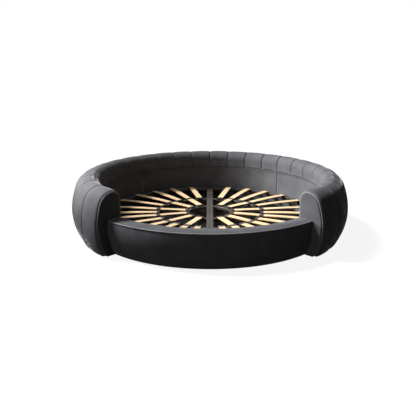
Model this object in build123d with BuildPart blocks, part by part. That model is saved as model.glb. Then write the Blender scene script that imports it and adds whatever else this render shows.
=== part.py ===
from build123d import *
import os
from math import asin, atan2, cos, degrees, radians, sin, sqrt, tan

os.makedirs("parts", exist_ok=True)

# Round bed. The origin is on the floor at the centre of the mattress well.
# +Y is the headboard end, -Y the open front with the low rail, +Z is up.
# Lengths are in millimetres. Angles are in degrees, counted from +X towards +Y.

# Mattress well
mattress_diameter = 2000.0
mattress_play = 10.0
floor_gap = 6.0
clearance = 0.3
overrun = 20.0

# Channelled roll: its outlines are parallel and share their arc centres
roll_height = 537.0
roll_overhang = 13.0
crest_inner_radius = 83.0
roll_face_height = 74.0
shoulder_radius = 138.0
side_run = 170.0
belly_height = 240.0
foot_tuck = 64.0
channel_depth = 14.0
foam_thickness = 33.0
pad_corner_radius = 5.0

# Division of the surround into channels and sections
channels_per_section = 8
channel_pitch = 11.23
section_gap_angle = 0.03

# Boards, ribs and battens inside the surround
board_thickness = 12.0
base_thickness = 18.0
rib_thickness = 15.0
channels_per_rib = 4
batten_width = 40.0
batten_thickness = 12.0
joint_bolt_inset = 65.0
joint_bolt_low_height = 120.0
joint_bolt_drop = 107.0

# End panels and their piping
end_panel_thickness = 16.0
piping_diameter = 9.0
piping_sides = 6

# Front rail
rail_height = 305.0
rail_width = 130.0
rail_lean = 8.0
rail_belly_drop = 80.0
rail_least_tuck = 48.0
rail_tuck_share = 0.08
rail_foam_thickness = 25.0
rail_edge_radius = 10.0
rail_ledge_crown = 4.0
rail_piping_drop = 5.0
rail_board_thickness = 15.0
rail_middle_ribs = 1

# Steel slat frame
frame_top = 140.0
tube_width = 30.0
tall_tube_height = 40.0
low_tube_height = 30.0
tube_wall = 2.0
outer_ring_gap = 8.0
mid_ring_radius = 493.0
inner_ring_radius = 209.0

# Wooden slats and their plastic holders. The angles run from the beam's back end
# round to its front end, alike on both sides; every second slat is a pair.
slat_turns = (12.4, 25.4, 38.2, 51.5, 66.1, 81.8, 94.8, 106.2, 119.2, 131.6, 144.4, 156.4, 168.4)
slat_width = 55.0
slat_thickness = 8.0
outer_slat_rise = 4.0
inner_slat_rise = 2.0
slat_bearing = 15.0
holder_wall = 2.5
holder_floor = 2.3
holder_roof = 2.0
holder_web = 4.0
holder_nose = 9.0
pocket_depth = 17.0
pocket_play = 1.4
hook_width = 24.0
hook_depth = 12.0
hook_thickness = 3.0
hook_play = 0.6
mid_holder_shift = 13.0
inner_holder_shift = 4.0

# Cleats that hang the slat frame in the surround
cleat_length = 60.0
cleat_flange = 38.0
cleat_thickness = 3.0
cleat_spread = 30.0

# Middle legs and levelling feet
leg_size = 38.0
leg_wall = 2.0
leg_plate_size = 66.0
leg_plate_thickness = 3.0
insert_height = 12.0
foot_diameter = 44.0
foot_sides = 12
foot_thickness = 8.0
foot_bevel = 3.0
collar_width = 17.0
collar_height = 13.7
stem_diameter = 10.0
stem_play = 0.05
stem_height = 30.0
stem_sides = 12

# Fasteners
bolt_diameter = 8.0
bolt_sides = 6
bolt_play = 0.5
bolt_head_width = 13.0
bolt_head_height = 5.3
nut_height = 6.5
bolt_tail = 3.0
beam_bolt_places = (150.0, 650.0)

# Glides and the cloth under the well
glide_diameter = 18.0
glide_sides = 8
glides_per_section = 3
glide_spread = 30.0
section_glide_inset = 83.0
rail_glide_inset = 36.0
cloth_thickness = 1.0
cloth_lap = 6.0
cloth_hole_play = 8.0

# Sizes and angles that follow from the ones above
well_radius = mattress_diameter / 2 + mattress_play
section_angle = channels_per_section * channel_pitch
section_turn = section_angle + section_gap_angle
back_angle = 90.0
front_angle = -90.0
back_start = back_angle - section_angle / 2
end_angle = back_start - section_turn
rail_half_angle = end_angle - front_angle

roll_inner_radius = well_radius - roll_overhang
roll_crest_radius = roll_inner_radius + crest_inner_radius
belly_radius = roll_crest_radius + side_run
roll_waist_height = roll_height - crest_inner_radius
roll_seam_height = roll_waist_height - roll_face_height
shoulder_centre_height = roll_height - shoulder_radius
side_rise = roll_height - belly_height
side_radius = (side_run**2 + side_rise**2 - 2 * side_rise * shoulder_radius) / (
    2 * (side_run - shoulder_radius)
)
side_centre = belly_radius - side_radius
shoulder_turn = degrees(
    atan2(shoulder_centre_height - belly_height, roll_crest_radius - side_centre)
)
foot_drop = belly_height - floor_gap
foot_arc_radius = (foot_drop**2 + foot_tuck**2) / (2 * foot_tuck)
foot_turn = degrees(asin(belly_height / (foot_arc_radius - foam_thickness)))
foot_centre = belly_radius - foot_arc_radius

cavity_radius = roll_inner_radius + foam_thickness
board_inner = cavity_radius + clearance
board_outer = board_inner + board_thickness
base_top = floor_gap + base_thickness
rib_inner = board_outer + clearance
joint_bolt_radius = roll_inner_radius + joint_bolt_inset
joint_bolt_heights = (joint_bolt_low_height, roll_height - joint_bolt_drop)
section_glide_radius = roll_inner_radius + section_glide_inset
rail_glide_radius = well_radius + rail_glide_inset

rail_top_radius = well_radius + rail_width
rail_belly_radius = rail_top_radius + rail_lean
rail_belly_height = rail_height - rail_belly_drop
rail_tuck = rail_least_tuck + rail_tuck_share * rail_belly_height
rail_foot_radius = rail_belly_radius - rail_tuck
rail_piping_height = rail_height - rail_piping_drop
rail_rise = rail_piping_height - rail_belly_height
rail_upper_radius = (rail_rise**2 + rail_lean**2) / (2 * rail_lean)
rail_upper_centre = rail_belly_radius - rail_upper_radius
rail_drop = rail_belly_height - floor_gap
rail_lower_radius = (rail_drop**2 + rail_tuck**2) / (2 * rail_tuck)
rail_lower_centre = rail_belly_radius - rail_lower_radius
rail_foot_turn = degrees(
    asin(rail_belly_height / (rail_lower_radius - rail_foam_thickness))
)
rail_cavity_top = rail_height - (cavity_radius - well_radius)
rail_board_top = rail_cavity_top - clearance
rail_end_offset = end_panel_thickness + 2 * clearance

outer_ring_radius = well_radius - outer_ring_gap - tube_width / 2
beam_half_length = sqrt(
    (outer_ring_radius + tube_width / 2) ** 2 - tube_width**2
)
tall_tube_bottom = frame_top - tall_tube_height
low_tube_bottom = frame_top - low_tube_height
leg_bottom = foot_thickness + collar_height + clearance


def radial_plane(angle, offset=0.0):
    """Upright plane along the bed's axis: its x runs outwards and its y up."""
    outward = Vector(1, 0, 0).rotate(Axis.Z, angle)
    normal = Vector(0, -1, 0).rotate(Axis.Z, angle)
    return Plane(origin=normal * offset, x_dir=outward, z_dir=normal)


def seat(plane, across, up, along=0.0):
    """The same plane moved to a point given in its own directions."""
    place = plane.from_local_coords((across, up, along))
    return Plane(origin=place, x_dir=plane.x_dir, z_dir=plane.z_dir)


def turned(shape, angle):
    """A copy of a shape turned about the bed's axis."""
    return shape.rotate(Axis.Z, angle)


def finish(builder, name):
    """Name a finished piece and write it."""
    builder.part.label = name
    export_step(builder.part, "parts/" + name + ".step")


def foot_reach(inset, height):
    """How far out the roll's lower arc stands at a height."""
    drop = belly_height - height
    return foot_centre + sqrt((foot_arc_radius - inset) ** 2 - drop**2)


def roll_curve(inset, low):
    """The roll's outline, inset from its crown, from the waist over to the foot."""
    foot_turn = degrees(asin((belly_height - low) / (foot_arc_radius - inset)))
    crest_centre = (roll_crest_radius, roll_waist_height)
    shoulder_centre = (roll_crest_radius, shoulder_centre_height)
    CenterArc(crest_centre, crest_inner_radius - inset, 90, 90)
    CenterArc(
        shoulder_centre, shoulder_radius - inset, shoulder_turn, 90 - shoulder_turn
    )
    CenterArc((side_centre, belly_height), side_radius - inset, 0, shoulder_turn)
    CenterArc(
        (foot_centre, belly_height), foot_arc_radius - inset, -foot_turn, foot_turn
    )


def roll_profile(plane, inset, low, corners):
    """A closed section of the roll: its outline, then corners from foot to waist."""
    foot = (foot_reach(inset, low), low)
    waist = (roll_inner_radius + inset, roll_waist_height)
    with BuildSketch(plane) as section:
        with BuildLine():
            roll_curve(inset, low)
            Polyline(foot, *corners, waist)
        make_face()
    return section.sketch


def arc_point(centre, radius, angle):
    """A point of an arc in a section."""
    return (
        centre[0] + radius * cos(radians(angle)),
        centre[1] + radius * sin(radians(angle)),
    )


def carcass_points(slack):
    """Points along the roll's arcs under the foam, from the floor over to the waist."""
    inset = foam_thickness + slack
    arcs = (
        ((foot_centre, belly_height), foot_arc_radius, (-foot_turn, -foot_turn / 2, 0)),
        ((side_centre, belly_height), side_radius, (shoulder_turn / 2, shoulder_turn)),
        (
            (roll_crest_radius, shoulder_centre_height),
            shoulder_radius,
            ((90 + shoulder_turn) / 2, 90),
        ),
        ((roll_crest_radius, roll_waist_height), crest_inner_radius, (135, 180)),
    )
    return [
        arc_point(centre, radius - inset, angle)
        for centre, radius, angles in arcs
        for angle in angles
    ]


def core_profile(plane, points, *inner):
    """A section under the foam: straight cuts between points, then its inner corners."""
    with BuildSketch(plane) as section:
        with BuildLine():
            Polyline(*points, *inner, (inner[-1][0], points[0][1]), close=True)
        make_face()
    return section.sketch


def rail_core_points(slack):
    """Points of the rail's outer side under the foam, from the floor to the top."""
    inset = rail_foam_thickness + slack
    lower = [
        arc_point((rail_lower_centre, rail_belly_height), rail_lower_radius - inset, angle)
        for angle in (-rail_foot_turn, -rail_foot_turn / 2, 0)
    ]
    top = rail_cavity_top - slack
    rise = top - rail_belly_height
    return lower + [(rail_upper_centre + sqrt((rail_upper_radius - inset) ** 2 - rise**2), top)]


def reach_between(low_point, high_point, height):
    """How far out the straight line through two points of a section is at a height."""
    slope = (high_point[0] - low_point[0]) / (high_point[1] - low_point[1])
    return low_point[0] + slope * (height - low_point[1])


def bolt_and_nut(grip):
    """A hexagon bolt along z with its nut drawn up; its grip starts at the origin."""
    with BuildPart() as bolt:
        with BuildSketch(Plane.XY.offset(-bolt_head_height)):
            RegularPolygon(bolt_head_width / 2, 6, major_radius=False)
        extrude(amount=bolt_head_height)
        with BuildSketch():
            RegularPolygon(bolt_diameter / 2, bolt_sides)
        extrude(amount=grip + nut_height + bolt_tail)
        with BuildSketch(Plane.XY.offset(grip)):
            RegularPolygon(bolt_head_width / 2, 6, major_radius=False)
        extrude(amount=nut_height)
    return bolt.part


def bolt_hole(depth):
    """Clear a bolt's way through the part that is being made, to both sides."""
    with BuildSketch(mode=Mode.PRIVATE) as hole:
        RegularPolygon(bolt_diameter / 2 + bolt_play, bolt_sides)
    add(extrude(hole.sketch, depth / 2, both=True, mode=Mode.PRIVATE), mode=Mode.SUBTRACT)


# The jacket of each section: foam and cloth, drawn in at the channel seams
heart_radius = cavity_radius + foam_thickness
with BuildPart() as one_channel:
    for place, inset in ((-0.5, channel_depth), (0, 0), (0.5, channel_depth)):
        lip = roll_inner_radius + inset
        corners = (
            (heart_radius, floor_gap),
            (heart_radius, roll_seam_height),
            (lip, roll_seam_height),
        )
        plane = radial_plane(place * channel_pitch)
        add(roll_profile(plane, inset, floor_gap, corners))
    loft()

with BuildPart() as cavity:
    plane = radial_plane(back_start - channel_pitch)
    add(core_profile(plane, carcass_points(0), (cavity_radius, roll_seam_height)))
    revolve(axis=Axis.Z, revolution_arc=section_angle + 2 * channel_pitch)

with BuildPart() as back_channel_cover:
    for channel in range(channels_per_section):
        add(turned(one_channel.part, back_start + (channel + 0.5) * channel_pitch))
    add(cavity.part, mode=Mode.SUBTRACT)
finish(back_channel_cover, "back_channel_cover")

# The plain inner pad below the roll
with BuildPart() as back_inner_pad:
    with BuildSketch(radial_plane(back_start)):
        with Locations((well_radius, floor_gap)):
            Rectangle(
                cavity_radius - well_radius,
                roll_seam_height - clearance - floor_gap,
                align=(Align.MIN, Align.MIN),
            )
    revolve(axis=Axis.Z, revolution_arc=section_angle)
    upright = back_inner_pad.edges().filter_by(Axis.Z)
    fillet(
        upright.sort_by(lambda edge: Vector(edge.center().X, edge.center().Y).length)[:2],
        pad_corner_radius,
    )
finish(back_inner_pad, "back_inner_pad")

# The bent board behind the pad
board_top = roll_waist_height - clearance
with BuildPart() as back_inner_board:
    with BuildSketch(radial_plane(back_start)):
        with Locations((board_inner, base_top)):
            Rectangle(
                board_thickness, board_top - base_top, align=(Align.MIN, Align.MIN)
            )
    revolve(axis=Axis.Z, revolution_arc=section_angle)
finish(back_inner_board, "back_inner_board")

# The flat board that the section stands on
base_reach = reach_between(*carcass_points(clearance)[:2], floor_gap)
with BuildPart() as back_base_board:
    with BuildSketch(radial_plane(back_start)):
        with Locations((board_inner, floor_gap)):
            Rectangle(
                base_reach - board_inner, base_thickness, align=(Align.MIN, Align.MIN)
            )
    revolve(axis=Axis.Z, revolution_arc=section_angle)
finish(back_base_board, "back_base_board")

# The batten along the crest, let into the ribs
rib_inset = foam_thickness + clearance
rib_top = roll_height - rib_inset
crest_fall = tan(radians(22.5)) * batten_width / 2
batten_top = rib_top - crest_fall
batten_bottom = batten_top - batten_thickness
with BuildPart() as back_top_batten:
    with BuildSketch(radial_plane(back_start)):
        with Locations((roll_crest_radius, batten_top)):
            Rectangle(
                batten_width, batten_thickness, align=(Align.CENTER, Align.MAX)
            )
    revolve(axis=Axis.Z, revolution_arc=section_angle)
finish(back_top_batten, "back_top_batten")

# The ribs: one at each end, flush with it, and one between them
rib_count = channels_per_section // channels_per_rib + 1
rib_step = section_angle / (rib_count - 1)


def rib_shift(index, count):
    """Where a rib starts along its plane's normal: end ribs lie inside the ends."""
    return -rib_thickness + rib_thickness * index / (count - 1)


with BuildPart() as back_ribs:
    for rib in range(rib_count):
        plane = radial_plane(back_start + rib * rib_step, rib_shift(rib, rib_count))
        profile = core_profile(plane, carcass_points(clearance), (rib_inner, roll_waist_height))
        add(extrude(profile, rib_thickness, mode=Mode.PRIVATE))
        with Locations(seat(plane, roll_crest_radius, batten_bottom - clearance)):
            Box(
                batten_width + 2 * clearance,
                2 * batten_thickness,
                2 * (rib_thickness + overrun),
                align=(Align.CENTER, Align.MIN, Align.CENTER),
                mode=Mode.SUBTRACT,
            )
    split(bisect_by=Plane.XY.offset(base_top), keep=Keep.TOP)
    for angle in (back_start, back_start + section_angle):
        for height in joint_bolt_heights:
            with Locations(seat(radial_plane(angle), joint_bolt_radius, height)):
                bolt_hole(2 * (rib_thickness + overrun))
finish(back_ribs, "back_ribs")

# The side sections are the back section again, turned to its left and right
section_pieces = (
    (back_channel_cover, "channel_cover"),
    (back_inner_pad, "inner_pad"),
    (back_inner_board, "inner_board"),
    (back_base_board, "base_board"),
    (back_top_batten, "top_batten"),
    (back_ribs, "ribs"),
)
for piece, piece_name in section_pieces:
    for side, turn in (("left", section_turn), ("right", -section_turn)):
        with BuildPart() as side_piece:
            add(turned(piece.part, turn))
        finish(side_piece, side + "_" + piece_name)

# End panels close the two open ends of the surround, with piping round them
panel_inset = channel_depth + piping_diameter + clearance
panel_corners = ((roll_inner_radius + panel_inset, floor_gap),)
with BuildPart() as right_end_panel:
    plane = radial_plane(end_angle, clearance)
    profile = roll_profile(plane, panel_inset, floor_gap, panel_corners)
    add(extrude(profile, end_panel_thickness, mode=Mode.PRIVATE))
    for height in joint_bolt_heights[:1]:
        with Locations(seat(radial_plane(end_angle), joint_bolt_radius, height)):
            bolt_hole(2 * (end_panel_thickness + overrun))
finish(right_end_panel, "right_end_panel")

piping_inset = channel_depth + piping_diameter / 2
piping_low = floor_gap + piping_diameter
with BuildPart() as right_end_piping:
    with BuildLine(radial_plane(end_angle, piping_diameter / 2 + clearance)) as cord_line:
        Line(
            (roll_inner_radius + piping_inset, piping_low),
            (roll_inner_radius + piping_inset, roll_waist_height),
        )
        roll_curve(piping_inset, piping_low)
    path = cord_line.wires()[0]
    with BuildSketch(Plane(origin=path @ 0, z_dir=path % 0)):
        RegularPolygon(piping_diameter / 2, piping_sides)
    sweep(path=path)
finish(right_end_piping, "right_end_piping")

for piece, piece_name in ((right_end_panel, "end_panel"), (right_end_piping, "end_piping")):
    with BuildPart() as left_piece:
        mirror(piece.part, about=Plane.YZ)
    finish(left_piece, "left_" + piece_name)


# The front rail fits between the end panels, so its ends are cut parallel to them
def trim_rail_ends():
    """Cut a rail piece back to the faces of the end panels."""
    for angle, side in ((end_angle, 1), (2 * front_angle - end_angle, -1)):
        with Locations(seat(radial_plane(angle), well_radius, 0, side * rail_end_offset)):
            Box(
                2 * rail_height,
                2 * rail_height + 2 * overrun,
                2 * rail_end_offset,
                align=(
                    Align.CENTER,
                    Align.CENTER,
                    Align.MAX if side > 0 else Align.MIN,
                ),
                mode=Mode.SUBTRACT,
            )


rail_upper_turn = degrees(asin(rail_rise / rail_upper_radius))
rail_lower_turn = degrees(asin(rail_drop / rail_lower_radius))
rail_start = front_angle - rail_half_angle
rail_plane = radial_plane(rail_start)
with BuildPart() as front_rail_cover:
    with BuildSketch(rail_plane):
        with BuildLine():
            CenterArc(
                (rail_lower_centre, rail_belly_height),
                rail_lower_radius,
                -rail_lower_turn,
                rail_lower_turn,
            )
            CenterArc(
                (rail_upper_centre, rail_belly_height), rail_upper_radius, 0, rail_upper_turn
            )
            ledge_in = (well_radius + rail_edge_radius, rail_height)
            ledge_out = (rail_top_radius - rail_edge_radius, rail_height)
            ledge_middle = (
                (well_radius + rail_top_radius) / 2,
                rail_height + rail_ledge_crown,
            )
            Line((rail_top_radius, rail_piping_height), ledge_out)
            ThreePointArc(ledge_out, ledge_middle, ledge_in)
            Polyline(
                ledge_in,
                (well_radius, rail_height - rail_edge_radius),
                (well_radius, floor_gap),
                (rail_foot_radius, floor_gap),
            )
        make_face()
        core = core_profile(Plane.XY, rail_core_points(0), (cavity_radius, rail_cavity_top))
        add(core, mode=Mode.SUBTRACT)
        with Locations((rail_top_radius, rail_piping_height)):
            RegularPolygon(piping_diameter / 2 + clearance, piping_sides, mode=Mode.SUBTRACT)
    revolve(axis=Axis.Z, revolution_arc=2 * rail_half_angle)
    trim_rail_ends()
finish(front_rail_cover, "front_rail_cover")

with BuildPart() as front_rail_piping:
    with BuildSketch(rail_plane):
        with Locations((rail_top_radius, rail_piping_height)):
            RegularPolygon(piping_diameter / 2, piping_sides)
    revolve(axis=Axis.Z, revolution_arc=2 * rail_half_angle)
    trim_rail_ends()
finish(front_rail_piping, "front_rail_piping")

rail_top_board_low = rail_board_top - rail_board_thickness
with BuildPart() as front_rail_inner_board:
    with BuildSketch(rail_plane):
        with Locations((board_inner, base_top)):
            Rectangle(
                board_thickness,
                rail_top_board_low - base_top,
                align=(Align.MIN, Align.MIN),
            )
    revolve(axis=Axis.Z, revolution_arc=2 * rail_half_angle)
    trim_rail_ends()
finish(front_rail_inner_board, "front_rail_inner_board")

with BuildPart() as front_rail_top_board:
    with BuildSketch(rail_plane):
        with Locations((board_inner, rail_top_board_low)):
            Rectangle(
                rail_core_points(clearance)[-1][0] - board_inner,
                rail_board_thickness,
                align=(Align.MIN, Align.MIN),
            )
    revolve(axis=Axis.Z, revolution_arc=2 * rail_half_angle)
    trim_rail_ends()
finish(front_rail_top_board, "front_rail_top_board")

with BuildPart() as front_rail_base_board:
    with BuildSketch(rail_plane):
        with Locations((board_inner, floor_gap)):
            Rectangle(
                reach_between(*rail_core_points(clearance)[:2], floor_gap) - board_inner,
                base_thickness,
                align=(Align.MIN, Align.MIN),
            )
    revolve(axis=Axis.Z, revolution_arc=2 * rail_half_angle)
    trim_rail_ends()
finish(front_rail_base_board, "front_rail_base_board")

end_rib_reach = rail_end_offset + rib_thickness
end_rib_slack = clearance + cavity_radius - sqrt(cavity_radius**2 - end_rib_reach**2)
with BuildPart() as front_rail_ribs:
    rib_step = 2 * rail_half_angle / (rail_middle_ribs + 1)
    for rib in range(1, rail_middle_ribs + 1):
        plane = radial_plane(rail_start + rib * rib_step, -rib_thickness / 2)
        profile = core_profile(plane, rail_core_points(clearance), (rib_inner, rail_board_top))
        add(extrude(profile, rib_thickness, mode=Mode.PRIVATE))
    for angle, side in ((end_angle, 1), (rail_start, -1)):
        offset = side * (rail_end_offset + rib_thickness / 2) - rib_thickness / 2
        plane = radial_plane(angle, offset)
        profile = core_profile(plane, rail_core_points(end_rib_slack), (rib_inner, rail_belly_height))
        add(extrude(profile, rib_thickness, mode=Mode.PRIVATE))
        for height in joint_bolt_heights[:1]:
            with Locations(seat(plane, joint_bolt_radius, height)):
                bolt_hole(2 * (rib_thickness + overrun))
    split(bisect_by=Plane.XY.offset(base_top), keep=Keep.TOP)
    split(bisect_by=Plane.XY.offset(rail_top_board_low), keep=Keep.BOTTOM)
finish(front_rail_ribs, "front_rail_ribs")

# Bolts that draw the sections together, and the rail to its end panels
gap_width = radians(section_gap_angle) * joint_bolt_radius
section_grip = 2 * rib_thickness + gap_width + clearance
with BuildPart() as section_bolts:
    for side in (-1, 1):
        angle = back_angle + side * section_turn / 2
        for height in joint_bolt_heights:
            plane = radial_plane(angle, -section_grip / 2)
            with Locations(seat(plane, joint_bolt_radius, height)):
                add(bolt_and_nut(section_grip))
finish(section_bolts, "section_bolts")

rail_grip = 2 * rib_thickness + rail_end_offset + clearance
with BuildPart() as rail_bolts:
    for angle, side in ((end_angle, 1), (rail_start, -1)):
        for height in joint_bolt_heights[:1]:
            middle = side * rail_end_offset / 2
            plane = radial_plane(angle, middle - rail_grip / 2)
            with Locations(seat(plane, joint_bolt_radius, height)):
                add(bolt_and_nut(rail_grip))
finish(rail_bolts, "rail_bolts")


def half_ring(radius, height):
    """The right half of a ring of rectangular tube, cut off at the beam's side."""
    with BuildPart() as ring:
        with BuildSketch(radial_plane(front_angle)):
            with Locations((radius, frame_top - height / 2)):
                Rectangle(tube_width, height)
                Rectangle(
                    tube_width - 2 * tube_wall, height - 2 * tube_wall, mode=Mode.SUBTRACT
                )
        revolve(axis=Axis.Z, revolution_arc=180)
        Box(2 * tube_width, 2 * well_radius, 2 * frame_top, mode=Mode.SUBTRACT)
    return ring.part


# The slat frame comes in two halves: three half rings welded to a straight beam
rings = (
    ("outer_ring", outer_ring_radius, tall_tube_height),
    ("mid_ring", mid_ring_radius, low_tube_height),
    ("inner_ring", inner_ring_radius, low_tube_height),
)
for ring_name, radius, height in rings:
    with BuildPart() as right_ring:
        add(half_ring(radius, height))
    finish(right_ring, "right_" + ring_name)
    with BuildPart() as left_ring:
        mirror(right_ring.part, about=Plane.YZ)
    finish(left_ring, "left_" + ring_name)

beam_axis = frame_top - tall_tube_height / 2
with BuildPart() as right_beam:
    with BuildSketch(Plane.XZ):
        with Locations((tube_width / 2, beam_axis)):
            Rectangle(tube_width, tall_tube_height)
            Rectangle(
                tube_width - 2 * tube_wall,
                tall_tube_height - 2 * tube_wall,
                mode=Mode.SUBTRACT,
            )
    extrude(amount=beam_half_length, both=True)
    for place in beam_bolt_places:
        for side in (-1, 1):
            with Locations(Plane((0, side * place, beam_axis), z_dir=(1, 0, 0))):
                bolt_hole(4 * tube_width)
finish(right_beam, "right_beam")

with BuildPart() as left_beam:
    mirror(right_beam.part, about=Plane.YZ)
finish(left_beam, "left_beam")

with BuildPart() as beam_bolts:
    for place in beam_bolt_places:
        for side in (-1, 1):
            start = (-tube_width - clearance / 2, side * place, beam_axis)
            with Locations(Plane(start, z_dir=(1, 0, 0))):
                add(bolt_and_nut(2 * tube_width + clearance))
finish(beam_bolts, "beam_bolts")

# Sprung slats, drawn along +X and then turned to their places
slat_low = frame_top + holder_floor
paired_turns = slat_turns[1::2]
single_turns = slat_turns[0::2]
slat_stop = holder_web / 2 + clearance
outer_slat_start = mid_ring_radius + slat_stop
single_slat_start = mid_ring_radius - mid_holder_shift + slat_stop
outer_slat_end = outer_ring_radius - tube_width / 2 + slat_bearing
inner_slat_start = inner_ring_radius + inner_holder_shift + slat_stop
inner_slat_end = mid_ring_radius - slat_stop


def slat(start, end, rise):
    """A sprung slat along +X, bowed upwards between its two ends."""
    middle = (start + end) / 2
    with BuildPart() as plank:
        with BuildSketch(Plane.XZ):
            with BuildLine():
                ThreePointArc((start, slat_low), (middle, slat_low + rise), (end, slat_low))
                top = slat_low + slat_thickness
                Line((end, slat_low), (end, top))
                ThreePointArc((end, top), (middle, top + rise), (start, top))
                Line((start, top), (start, slat_low))
            make_face()
        extrude(amount=slat_width / 2, both=True)
    return plank.part


def slat_places(turns, side):
    """Angles of slats that stand at these turns from the beam, on one side of it."""
    return [back_angle - side * turn for turn in turns]


paired_slat = slat(outer_slat_start, outer_slat_end, outer_slat_rise)
single_slat = slat(single_slat_start, outer_slat_end, outer_slat_rise)
inner_slat = slat(inner_slat_start, inner_slat_end, inner_slat_rise)
slat_sets = (
    ("outer_slats", ((paired_slat, paired_turns), (single_slat, single_turns))),
    ("inner_slats", ((inner_slat, paired_turns),)),
)
for set_name, planks in slat_sets:
    for side_name, side in (("right", 1), ("left", -1)):
        with BuildPart() as slats:
            for plank, turns in planks:
                for angle in slat_places(turns, side):
                    add(turned(plank, angle))
        finish(slats, side_name + "_" + set_name)

# Plastic holders on the mid and inner rings: a box with a pocket for each slat end
holder_width = slat_width + 2 * (clearance + holder_wall)
holder_height = holder_floor + slat_thickness + pocket_play + holder_roof


def slat_holder(web, pocket_sides, nose, hooks):
    """A holder along +X. Its web stops the slats and each hook grips a ring face."""
    reach = holder_web / 2 + pocket_depth
    low = web - (reach if -1 in pocket_sides else nose)
    high = web + (reach if 1 in pocket_sides else nose)
    with BuildPart() as holder:
        with Locations((low, 0, frame_top)):
            Box(
                high - low,
                holder_width,
                holder_height,
                align=(Align.MIN, Align.CENTER, Align.MIN),
            )
        for side in pocket_sides:
            with Locations((web + side * holder_web / 2, 0, slat_low)):
                Box(
                    pocket_depth + overrun,
                    slat_width + 2 * clearance,
                    slat_thickness + pocket_play,
                    align=(Align.MIN if side > 0 else Align.MAX, Align.CENTER, Align.MIN),
                    mode=Mode.SUBTRACT,
                )
        for face, side in hooks:
            sag = face - sqrt(face**2 - (hook_width / 2) ** 2)
            near = face + side * hook_play - (sag if side < 0 else 0)
            with Locations((near, 0, frame_top)):
                Box(
                    hook_thickness,
                    hook_width,
                    hook_depth,
                    align=(Align.MIN if side > 0 else Align.MAX, Align.CENTER, Align.MAX),
                )
    return holder.part


half_tube = tube_width / 2
double_hooks = ((mid_ring_radius - half_tube, -1), (mid_ring_radius + half_tube, 1))
double_holder = slat_holder(mid_ring_radius, (-1, 1), 0, double_hooks)
single_web = mid_ring_radius - mid_holder_shift
mid_holder = slat_holder(single_web, (1,), holder_nose, double_hooks[:1])
inner_web = inner_ring_radius + inner_holder_shift
inner_hooks = ((inner_ring_radius + half_tube, 1),)
inner_holder = slat_holder(inner_web, (1,), holder_nose, inner_hooks)
holder_sets = (
    ("double_slat_holders", double_holder, paired_turns),
    ("mid_slat_holders", mid_holder, single_turns),
    ("inner_slat_holders", inner_holder, paired_turns),
)
for set_name, holder, turns in holder_sets:
    with BuildPart() as holders:
        for angle in slat_places(turns, 1) + slat_places(turns, -1):
            add(turned(holder, angle))
    finish(holders, set_name)

# Felt pads between the slats' outer ends and the outer ring
with BuildPart() as end_pad:
    with Locations((outer_slat_end, 0, frame_top)):
        Box(
            slat_bearing,
            slat_width,
            holder_floor,
            align=(Align.MAX, Align.CENTER, Align.MIN),
        )

with BuildPart() as slat_end_pads:
    for angle in slat_places(slat_turns, 1) + slat_places(slat_turns, -1):
        add(turned(end_pad.part, angle))
finish(slat_end_pads, "slat_end_pads")

# Angle cleats under the outer ring, against the walls of the well
cleat_back = sqrt((well_radius - clearance) ** 2 - (cleat_length / 2) ** 2)
section_middles = (back_angle, back_angle - section_turn, back_angle + section_turn, front_angle)
with BuildPart() as frame_cleats:
    for middle in section_middles:
        for turn in (-cleat_spread, 0, cleat_spread):
            plane = radial_plane(middle + turn, -cleat_length / 2)
            with BuildSketch(plane, mode=Mode.PRIVATE) as angle_iron:
                with Locations((cleat_back, tall_tube_bottom)):
                    Rectangle(cleat_flange, cleat_thickness, align=(Align.MAX, Align.MAX))
                    Rectangle(cleat_thickness, cleat_flange, align=(Align.MAX, Align.MAX))
            add(extrude(angle_iron.sketch, cleat_length, mode=Mode.PRIVATE))
finish(frame_cleats, "frame_cleats")

# Middle legs: a square tube under a plate, plugged by a bored insert
leg_places = (
    ("centre", 0, 0, tall_tube_bottom),
    ("back", 0, mid_ring_radius, tall_tube_bottom),
    ("front", 0, -mid_ring_radius, tall_tube_bottom),
    ("left", -mid_ring_radius, 0, low_tube_bottom),
    ("right", mid_ring_radius, 0, low_tube_bottom),
)
leg_bore = leg_size - 2 * leg_wall
with BuildPart() as support_legs:
    for place, across, along, top in leg_places:
        plate_low = top - leg_plate_thickness
        with BuildSketch(Plane((across, along, leg_bottom))):
            Rectangle(leg_size, leg_size)
            Rectangle(leg_bore, leg_bore, mode=Mode.SUBTRACT)
        extrude(amount=plate_low - leg_bottom)
        with BuildSketch(Plane((across, along, plate_low))):
            Rectangle(leg_plate_size, leg_plate_size)
        extrude(amount=leg_plate_thickness)
finish(support_legs, "support_legs")

with BuildPart() as leg_inserts:
    for place, across, along, top in leg_places:
        with BuildSketch(Plane((across, along, leg_bottom))):
            Rectangle(leg_bore, leg_bore)
            RegularPolygon(stem_diameter / 2 + stem_play, stem_sides, mode=Mode.SUBTRACT)
        extrude(amount=insert_height)
finish(leg_inserts, "leg_inserts")

# Levelling feet: a bevelled pad, a hexagon for the spanner and a stem
for place, across, along, top in leg_places:
    with BuildPart() as levelling_foot:
        with BuildSketch(Plane((across, along, 0))):
            RegularPolygon(foot_diameter / 2, foot_sides)
        extrude(amount=foot_thickness)
        chamfer(levelling_foot.faces().sort_by(Axis.Z)[-1].edges(), foot_bevel)
        with BuildSketch(Plane((across, along, foot_thickness))):
            RegularPolygon(collar_width / 2, 6, major_radius=False)
        extrude(amount=collar_height)
        with BuildSketch(Plane((across, along, foot_thickness + collar_height))):
            RegularPolygon(stem_diameter / 2, stem_sides)
        extrude(amount=stem_height)
    finish(levelling_foot, place + "_levelling_foot")

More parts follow.
